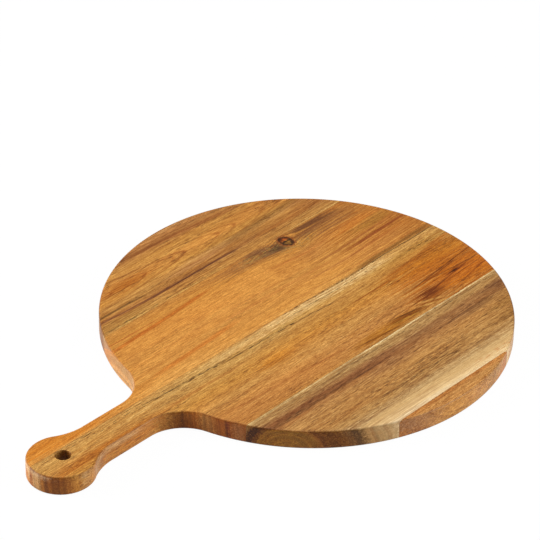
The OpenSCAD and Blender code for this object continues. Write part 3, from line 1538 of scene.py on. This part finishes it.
@dataclass
class Stave:
    """One stave of the board, with sizes in metres.

    Attributes:
        node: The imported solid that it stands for.
        slot: Its material slot in the record.
        finish: Its wood.
        sizes: Sizes of the board.
        edge_steps: Number of faces across the eased edge.
        hole_steps: Number of faces across the eased rim of the hole.
        hole_sides: Number of faces round the hole.
        wall_rows: Number of rows of faces on a wall.
        guard: Width of the narrow ring of faces inside the eased edge, which keeps the flat shaded flat.
        spacing: Size of the faces of the flats.
        fine_spacing: Size of the faces round a knot.
        fill_gap: How far the faces of the flats keep off their edges, as a share of their size.
        dip: Reach of the dip round a knot, in half widths of the knot.
        fine_reach: Reach of the small faces round a knot, in half widths of the knot.
        wave: Width, length and height of the faint waves that sanding leaves.
        sharp: Angle from which the edge between two faces is shaded as sharp.
    """

    node: str
    slot: str
    finish: WoodFinish
    sizes: BoardSizes
    edge_steps: int = 8
    hole_steps: int = 4
    hole_sides: int = 72
    wall_rows: int = 5
    guard: float = 0.12 * MM
    spacing: float = 2.4 * MM
    fine_spacing: float = 0.7 * MM
    fill_gap: float = 0.6
    dip: float = 1.3
    fine_reach: float = 1.5
    wave: tuple[float, float, float] = (30 * MM, 90 * MM, 0.03 * MM)
    sharp: float = math.radians(32)

    def build(self, relief: ReliefTree) -> bpy.types.Object:
        """Builds, dresses and places the stave.

        Args:
            relief: Nodes that finish its flats.

        Returns:
            The finished piece.
        """
        piece = bpy.data.objects.new(f"{self.node}_wood", self._mesh())
        bpy.context.scene.collection.objects.link(piece)
        knot = self.finish.knot
        relief.grow(piece, {
            "Wave width": self.wave[0],
            "Wave length": self.wave[1],
            "Wave height": self.wave[2],
            "Seed": self.finish.seed,
            "Knot place": (0.0, 0.0, 0.0) if knot is None else (knot.x * MM, knot.y * MM, 0.0),
            "Knot reach": 1 * MM if knot is None else self.dip * knot.half_width * MM,
            "Knot depth": 0.0 if knot is None else knot.sunk * MM,
            "Finish": WoodTree(self.finish, self.slot, self.sizes.thickness / MM).material,
        })
        piece.data.shade_smooth()
        piece.data.set_sharp_from_angle(angle=self.sharp)
        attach(piece, BODY)
        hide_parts(self.node)
        return piece

    def _mesh(self) -> bpy.types.Mesh:
        """Makes the stave's closed mesh.

        Returns:
            The mesh, with its faces outwards.
        """
        outline = Outline(self.sizes)
        low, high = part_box(self.node)
        left, right = (None if outline.at_rim(x) else x for x in (low.x, high.x))
        shares = outline.shares(left, right)

        def loop(inset: float, off: float) -> np.ndarray:
            """Draws the stave's outline.

            Args:
                inset: How far inside the outline of the board.
                off: How far from the seams.

            Returns:
                The points, anticlockwise, one row each.
            """
            from_x = None if left is None else left + off
            to_x = None if right is None else right - off
            return outline.loop(from_x, to_x, inset, shares)

        sizes, guard, thick = self.sizes, self.guard, self.sizes.thickness
        gap = self.fill_gap * self.spacing
        flat = loop(sizes.edge_r + guard, guard)
        walls = eased_wall(sizes.edge_r, self.edge_steps, self.wall_rows, thick)
        rings = [(flat, thick), *((loop(inset, 0.0), z) for inset, z in walls), (flat, 0.0)]
        fill = self._fill_points(loop(sizes.edge_r + guard + gap, guard + gap))
        if not low.x < 0 < high.x:
            return self._assemble([rings], fill)
        reach = sizes.hole_r + sizes.hole_edge + guard / 2
        rim = self._hole(reach)
        walls = eased_wall(sizes.hole_edge, self.hole_steps, self.wall_rows, thick)
        bore = [(rim, thick), *((self._hole(sizes.hole_r + inset), z) for inset, z in walls), (rim, 0.0)]
        fill = fill[~inside(fill, self._hole(reach + gap))]
        return self._assemble([rings, bore], fill)

    def _hole(self, radius: float) -> np.ndarray:
        """Draws a circle round the middle of the hanging hole.

        Args:
            radius: Its radius.

        Returns:
            The points, clockwise, one row each.
        """
        angles = np.linspace(0, -2 * math.pi, self.hole_sides, endpoint=False)
        unit = np.column_stack((np.cos(angles), np.sin(angles)))
        return np.array((0.0, self.sizes.hole_y)) + radius * unit

    def _fill_points(self, limit: np.ndarray) -> np.ndarray:
        """Spreads points over the flat, closer together round a knot.

        Args:
            limit: Loop that they stay inside.

        Returns:
            The points, one row each.
        """
        points = self._grid(limit.min(axis=0), limit.max(axis=0), self.spacing)
        knot = self.finish.knot
        if knot is not None:
            middle = np.array((knot.x, knot.y)) * MM
            reach = self.fine_reach * knot.half_width * MM
            fine = self._grid(middle - reach, middle + reach, self.fine_spacing)
            points = points[np.linalg.norm(points - middle, axis=1) >= reach + self.spacing / 2]
            points = np.concatenate((points, fine[np.linalg.norm(fine - middle, axis=1) < reach]))
        return points[inside(points, limit)]

    @staticmethod
    def _grid(low: np.ndarray, high: np.ndarray, spacing: float) -> np.ndarray:
        """Lays out points in rows, every other row shifted by half a step.

        Args:
            low: Lower left corner.
            high: Upper right corner.
            spacing: Distance between neighbours.

        Returns:
            The points, one row each.
        """
        columns = np.arange(low[0], high[0] + spacing, spacing)
        rows = np.arange(low[1], high[1] + spacing, spacing * math.sqrt(0.75))
        x, y = np.meshgrid(columns, rows)
        x[1::2] += spacing / 2
        return np.column_stack((x.ravel(), y.ravel()))

    def _assemble(self, walls: list[list[tuple[np.ndarray, float]]], fill: np.ndarray) -> bpy.types.Mesh:
        """Joins the walls and the flats into one closed mesh.

        Args:
            walls: Loops of the outline, and those of the hole if there is one, with their heights, from the
                top down.
            fill: Points of the flats.

        Returns:
            The mesh.
        """
        flat, triangles = self._flat([loops[0][0] for loops in walls], fill)
        blocks = [np.column_stack((flat, np.full(len(flat), z))) for z in (self.sizes.thickness, 0.0)]
        # The flats come first, the upper one before the lower one, and each wall joins their edges
        faces = [tuple(t) for t in triangles]
        faces += [tuple(int(n) + len(flat) for n in t[::-1]) for t in triangles]
        start = 2 * len(flat)
        first = 0
        for loops in walls:
            count = len(loops[0][0])
            starts = [first]
            for points, z in loops[1:-1]:
                blocks.append(np.column_stack((points, np.full(count, z))))
                starts.append(start)
                start += count
            starts.append(len(flat) + first)
            for upper, lower in zip(starts, starts[1:]):
                for n in range(count):
                    after = (n + 1) % count
                    faces.append((upper + n, lower + n, lower + after, upper + after))
            first += count
        mesh = bpy.data.meshes.new(self.node)
        mesh.from_pydata(np.concatenate(blocks).tolist(), [], faces)
        mesh.validate()
        return mesh

    @staticmethod
    def _flat(edges: list[np.ndarray], fill: np.ndarray) -> tuple[np.ndarray, np.ndarray]:
        """Divides a flat into triangles.

        Args:
            edges: Its outer loop, and the loop of its hole if it has one.
            fill: Points inside it.

        Returns:
            Its points, edge loops first, and its triangles, anticlockwise.
        """
        points = np.concatenate([*edges, fill])
        sides = []
        start = 0
        for edge in edges:
            count = len(edge)
            sides += [(start + n, start + (n + 1) % count) for n in range(count)]
            start += count
        outer = list(range(len(edges[0])))
        scaled = [Vector(p) for p in points / MM]
        made = delaunay_2d_cdt(scaled, sides, [outer], 1, 1e-6)
        # The faces count the points of the result, which list the points that they came from
        found = np.array([face for face in made[2] if len(face) == 3])
        source = np.array([ids[0] for ids in made[3]])
        found = source[found]
        for hole in edges[1:]:
            found = found[~inside(points[found].mean(axis=1), hole)]
        corners = points[found]
        one, two = corners[:, 1] - corners[:, 0], corners[:, 2] - corners[:, 0]
        turned = one[:, 0] * two[:, 1] - one[:, 1] * two[:, 0] < 0
        found[turned] = found[turned][:, ::-1]
        return points, found


@dataclass
class GlueLine:
    """Film of cured glue in one seam.

    Attributes:
        node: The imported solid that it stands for.
        sizes: Sizes of the board.
        shrink: How far the glue has shrunk back from the outline.
        edge_steps: Number of faces across the eased edge.
    """

    node: str
    sizes: BoardSizes
    shrink: float = 0.02 * MM
    edge_steps: int = 8

    def build(self, film: FilmTree, finish: bpy.types.Material) -> bpy.types.Object:
        """Builds, dresses and places the film.

        Args:
            film: Nodes that fill its section.
            finish: Its material.

        Returns:
            The finished piece.
        """
        low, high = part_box(self.node)
        seam = (low.x + high.x) / 2
        mesh = bpy.data.meshes.new(self.node)
        section = self._section(seam)
        count = len(section)
        mesh.from_pydata([(y, z, 0.0) for y, z in section], [(n, (n + 1) % count) for n in range(count)], [])
        piece = bpy.data.objects.new(f"{self.node}_film", mesh)
        bpy.context.scene.collection.objects.link(piece)
        film.grow(piece, {"Thickness": high.x - low.x, "Seam": seam, "Finish": finish})
        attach(piece, BODY)
        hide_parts(self.node)
        return piece

    def _section(self, seam: float) -> list[tuple[float, float]]:
        """Draws the board's section along the seam.

        Args:
            seam: Place of the seam.

        Returns:
            Place along the board and height of each point, anticlockwise.
        """
        outline = Outline(self.sizes)
        half = self.sizes.thickness / 2
        side = []
        for corner_inset, drop in eased_corner(self.sizes.edge_r, self.edge_steps):
            inset = corner_inset + self.shrink
            side.append((*outline.ends(seam, inset), half - drop - self.shrink))
        section = [(far, half - height) for _, far, height in side]
        section += [(far, half + height) for _, far, height in reversed(side)]
        section += [(near, half + height) for near, _, height in side]
        section += [(near, half - height) for near, _, height in reversed(side)]
        return section


@dataclass
class TapasBoard:
    """The whole board: its staves and the glue between them.

    Attributes:
        sizes: Sizes of the board.
    """

    sizes: BoardSizes

    def build(self) -> list[bpy.types.Object]:
        """Builds every piece, from left to right.

        Returns:
            The pieces.
        """
        relief, film = ReliefTree(), FilmTree()
        glue = GlueFinish().material("cured_glue")
        staves = (
            ("left_rim_stave", "golden_brown_wood", GOLDEN_BROWN),
            ("left_stave", "light_orange_wood", LIGHT_ORANGE),
            ("handle_stave", "orange_heartwood", ORANGE_HEART),
            ("right_stave", "brown_to_cream_wood", BROWN_TO_CREAM),
            ("right_rim_stave", "straight_orange_wood", STRAIGHT_ORANGE),
        )
        seams = ("left_rim_glue_line", "handle_glue_line", "right_glue_line", "right_rim_glue_line")
        made = [Stave(node, slot, finish, self.sizes).build(relief) for node, slot, finish in staves]
        made += [GlueLine(node, self.sizes).build(film, glue) for node in seams]
        return made


@dataclass
class Lamp:
    """Softbox of the studio, in metres.

    Attributes:
        name: Its name.
        place: Where it stands.
        size: Its width and height.
        power: Its power in watts.
    """

    name: str
    place: tuple[float, float, float]
    size: tuple[float, float]
    power: float

    def build(self) -> None:
        """Sets up the lamp, turned towards the board."""
        light = bpy.data.lights.new(self.name, "AREA")
        light.shape = "RECTANGLE"
        light.size, light.size_y = self.size
        light.energy = self.power
        lamp = bpy.data.objects.new(self.name, light)
        lamp.location = self.place
        lamp.rotation_euler = Vector(self.place).to_track_quat("Z", "Y").to_euler()
        bpy.context.scene.collection.objects.link(lamp)


@dataclass
class Studio:
    """Plain white studio with softboxes on both sides, and the camera.

    Attributes:
        floor_half: Half width of the floor, in metres.
        floor_drop: How far the floor lies under the board, in metres.
        floor_color: How much light the floor gives back.
        floor_glow: How much of the floor the camera sees as plain white.
        floor_white: Strength of that white, which makes up for the share of the floor in its shadows.
        sky: Light from the studio's walls.
        lens: Focal length of the camera, in millimetres.
        sensor: Width of the camera's sensor, in millimetres.
        sight: How far the camera sees, in metres.
        azimuth: Way round the board from the handle to the camera, in degrees.
        elevation: Height of the camera over the floor, in degrees.
        roll: Tilt of the camera, in degrees.
        distance: From the camera to its target, in metres.
        target: Point on the floor in the middle of the picture, in metres.
        lamps: The softboxes.
    """

    floor_half: float = 6.0
    floor_drop: float = 0.1 * MM
    floor_color: float = 0.6
    floor_glow: float = 0.95
    floor_white: float = 1.025
    sky: float = 0.23
    lens: float = 192.257
    sensor: float = 36.0
    sight: float = 50.0
    azimuth: float = 41.9194
    elevation: float = 33.3619
    roll: float = 1.1501
    distance: float = 2.1503
    target: tuple[float, float, float] = (-0.0677445, 0.0348772, 0.0)
    lamps: tuple[Lamp, ...] = (
        Lamp("overhead_softbox", (-0.1, 0.2, 2.2), (1.6, 1.6), 17.0),
        Lamp("left_softbox", (-1.55, -1.35, 0.7), (1.2, 1.2), 46.0),
        Lamp("right_softbox", (1.65, 0.95, 0.75), (1.2, 1.2), 30.0),
    )

    def build(self) -> None:
        """Sets up the floor, the walls, the lamps and the camera."""
        self._floor()
        self._walls()
        for lamp in self.lamps:
            lamp.build()
        self._camera()
        bpy.context.scene.view_settings.view_transform = "Standard"

    def _floor(self) -> None:
        """Lays the floor, which looks white to the camera and keeps a faint shadow."""
        half, z = self.floor_half, -self.floor_drop
        mesh = bpy.data.meshes.new("studio_floor")
        corners = [(-half, -half, z), (half, -half, z), (half, half, z), (-half, half, z)]
        mesh.from_pydata(corners, [], [(0, 1, 2, 3)])
        floor = bpy.data.objects.new("studio_floor", mesh)
        bpy.context.scene.collection.objects.link(floor)
        paint = bpy.data.materials.new("white_floor")
        bench = NodeBench.for_shader(paint)
        ray = bench.node("ShaderNodeLightPath").outputs
        seen = bench.math("MAXIMUM", ray["Is Camera Ray"], ray["Is Glossy Ray"])
        seen = bench.math("MAXIMUM", seen, ray["Is Transmission Ray"])
        matt = bench.node("ShaderNodeBsdfDiffuse", {"Color": (*[self.floor_color] * 3, 1.0)})
        white = bench.node("ShaderNodeEmission", {"Strength": self.floor_white})
        feeds = {0: seen * self.floor_glow, 1: matt.outputs[0], 2: white.outputs[0]}
        mixed = bench.node("ShaderNodeMixShader", feeds)
        bench.node("ShaderNodeOutputMaterial", {"Surface": mixed.outputs[0]})
        mesh.materials.append(paint)

    def _walls(self) -> None:
        """Gives the studio plain grey walls that light the board a little from all round."""
        world = bpy.data.worlds.new("studio_walls")
        bpy.context.scene.world = world
        bench = NodeBench.for_shader(world)
        wall = bench.node("ShaderNodeBackground", {"Color": (1.0, 1.0, 1.0, 1.0), "Strength": self.sky})
        bench.node("ShaderNodeOutputWorld", {"Surface": wall.outputs[0]})

    def _camera(self) -> None:
        """Sets up the camera and makes it the scene's own."""
        around, up, tilt = (math.radians(a) for a in (self.azimuth, self.elevation, self.roll))
        back = Vector((math.sin(around) * math.cos(up), -math.cos(around) * math.cos(up), math.sin(up)))
        level = Vector((math.cos(around), math.sin(around), 0.0))
        upright = back.cross(level)
        right = level * math.cos(tilt) + upright * math.sin(tilt)
        data = bpy.data.cameras.new("camera")
        data.lens = self.lens
        data.sensor_width = self.sensor
        data.clip_end = self.sight
        camera = bpy.data.objects.new("camera", data)
        turned = Matrix((right, back.cross(right), back)).transposed()
        camera.matrix_world = Matrix.Translation(Vector(self.target) + back * self.distance) @ turned.to_4x4()
        bpy.context.scene.collection.objects.link(camera)
        bpy.context.scene.camera = camera


def main() -> None:
    """Builds the board and the studio."""
    logging.basicConfig(level=logging.INFO, format="%(message)s")
    for piece in TapasBoard(BoardSizes.from_frame()).build():
        log.info("%s: %d faces", piece.name, len(piece.data.polygons))
    Studio().build()


if __name__ == "__main__":
    main()
